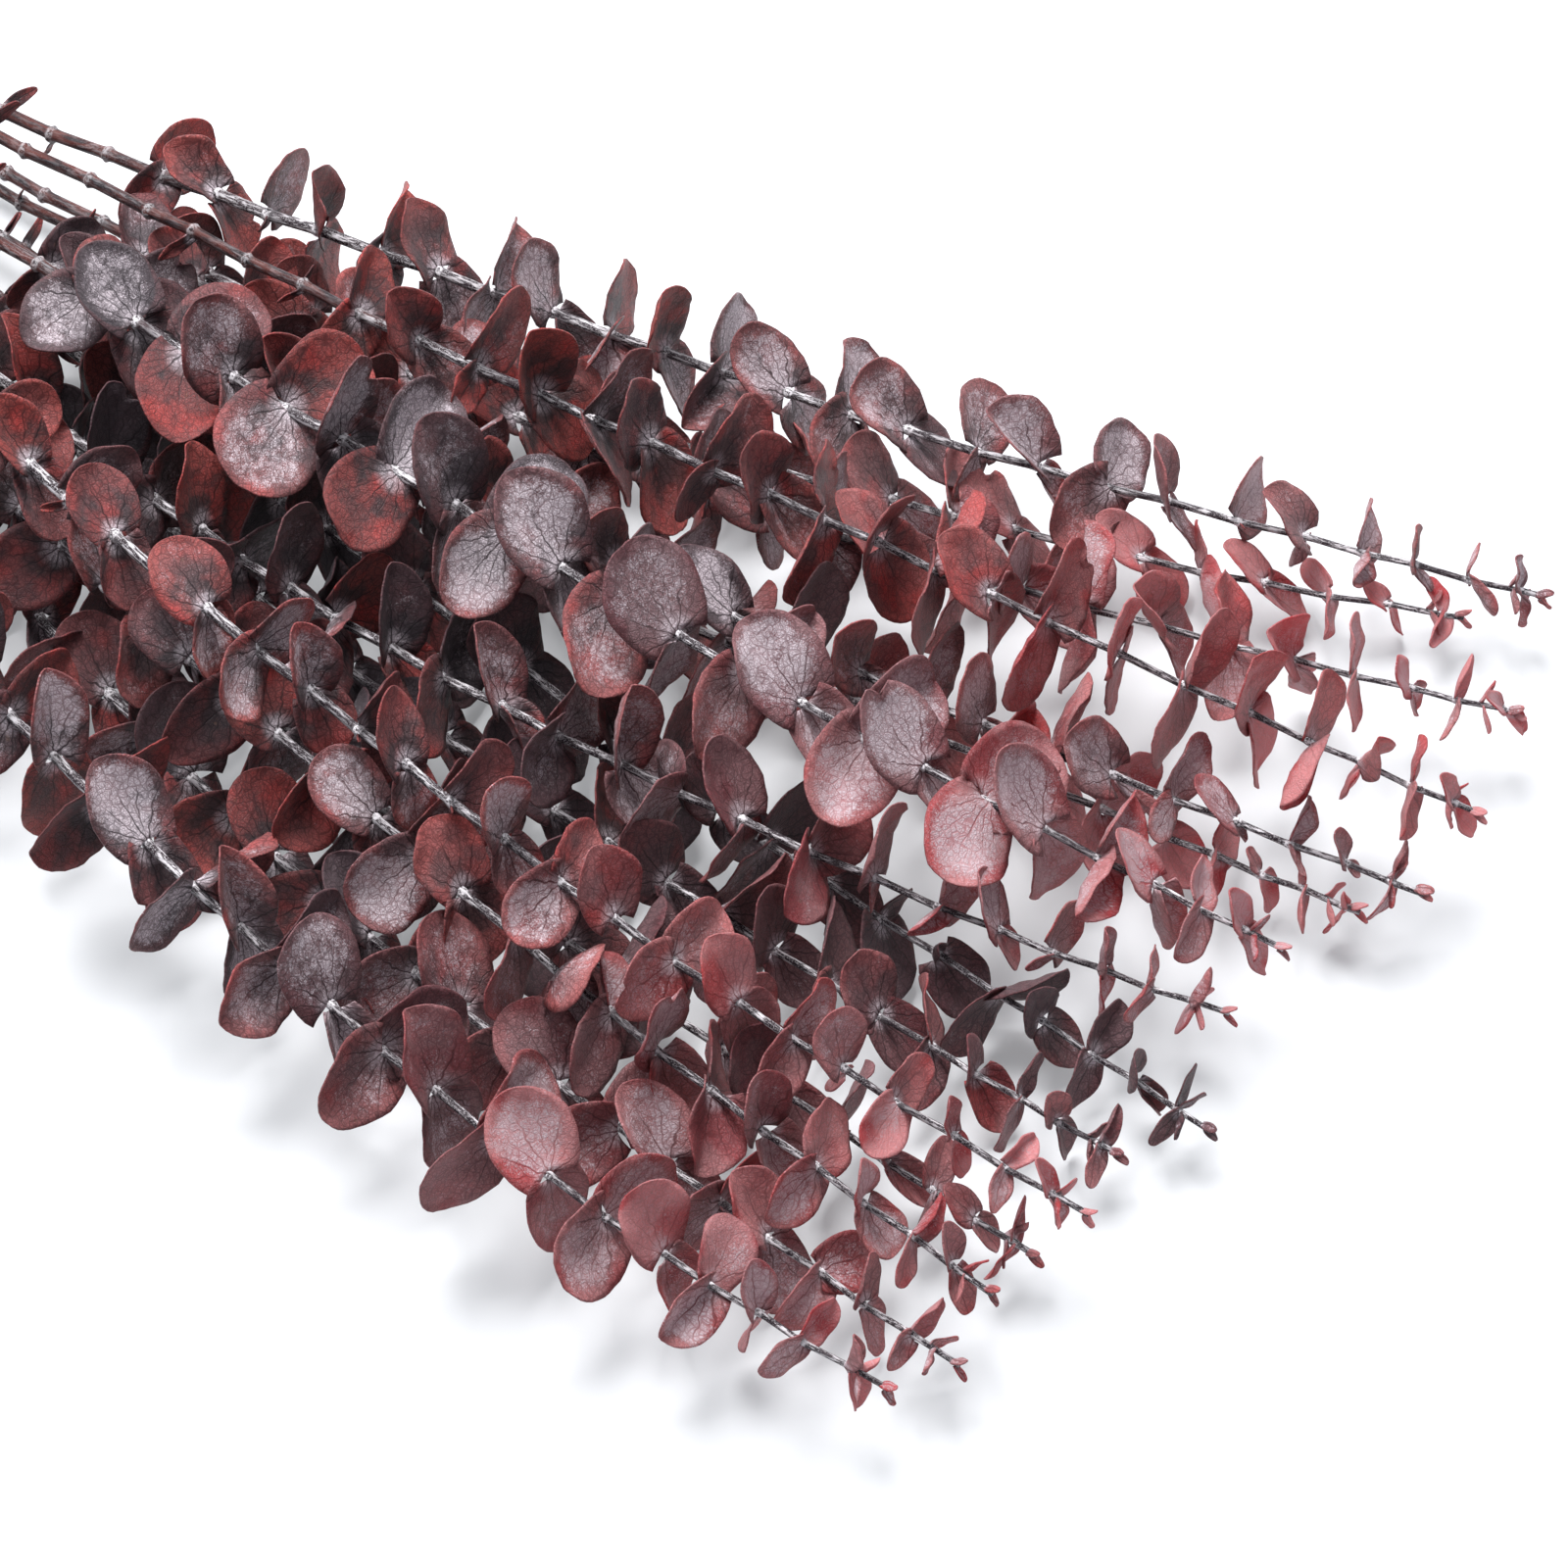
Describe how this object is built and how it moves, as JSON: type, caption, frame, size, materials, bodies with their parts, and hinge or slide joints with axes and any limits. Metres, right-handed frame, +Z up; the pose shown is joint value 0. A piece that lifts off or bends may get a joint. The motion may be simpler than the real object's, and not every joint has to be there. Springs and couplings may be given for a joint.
{
  "type": "bunch of dried eucalyptus",
  "caption": "Fan-shaped bunch of long, slim leafy branches with round leaves in opposite pairs, lying flat as a natural decoration.",
  "frame": {"origin": "on the surface that the bunch lies on, under the middle of its bounding box", "axes": "+X along the bunch from the cut ends to the tips, +Y across the fan, +Z up"},
  "size_m": [0.6034, 0.3288, 0.0774],
  "materials": {
    "stem_bark": "dark plum bark with whitish wax streaks and rings, matt",
    "leaf_blade": "dyed wine red to plum, leathery, with a silvery wax bloom and fine dark veins, satin to matt"
  },
  "bodies": {
    "root": {"stem_01": "stem_bark", "stem_02": "stem_bark", "stem_03": "stem_bark", "stem_04": "stem_bark", "stem_05": "stem_bark", "stem_06": "stem_bark", "stem_07": "stem_bark", "stem_08": "stem_bark", "stem_09": "stem_bark", "stem_10": "stem_bark", "stem_11": "stem_bark", "stem_12": "stem_bark", "stem_13": "stem_bark", "stem_14": "stem_bark", "stem_15": "stem_bark", "leaves_01_left": "leaf_blade", "leaves_01_right": "leaf_blade", "leaves_02_left": "leaf_blade", "leaves_02_right": "leaf_blade", "leaves_03_left": "leaf_blade", "leaves_03_right": "leaf_blade", "leaves_04_left": "leaf_blade", "leaves_04_right": "leaf_blade", "leaves_05_left": "leaf_blade", "leaves_05_right": "leaf_blade", "leaves_06_left": "leaf_blade", "leaves_06_right": "leaf_blade", "leaves_07_left": "leaf_blade", "leaves_07_right": "leaf_blade", "leaves_08_left": "leaf_blade", "leaves_08_right": "leaf_blade", "leaves_09_left": "leaf_blade", "leaves_09_right": "leaf_blade", "leaves_10_left": "leaf_blade", "leaves_10_right": "leaf_blade", "leaves_11_left": "leaf_blade", "leaves_11_right": "leaf_blade", "leaves_12_left": "leaf_blade", "leaves_12_right": "leaf_blade", "leaves_13_left": "leaf_blade", "leaves_13_right": "leaf_blade", "leaves_14_left": "leaf_blade", "leaves_14_right": "leaf_blade", "leaves_15_left": "leaf_blade", "leaves_15_right": "leaf_blade"}
  },
  "joints": []
}
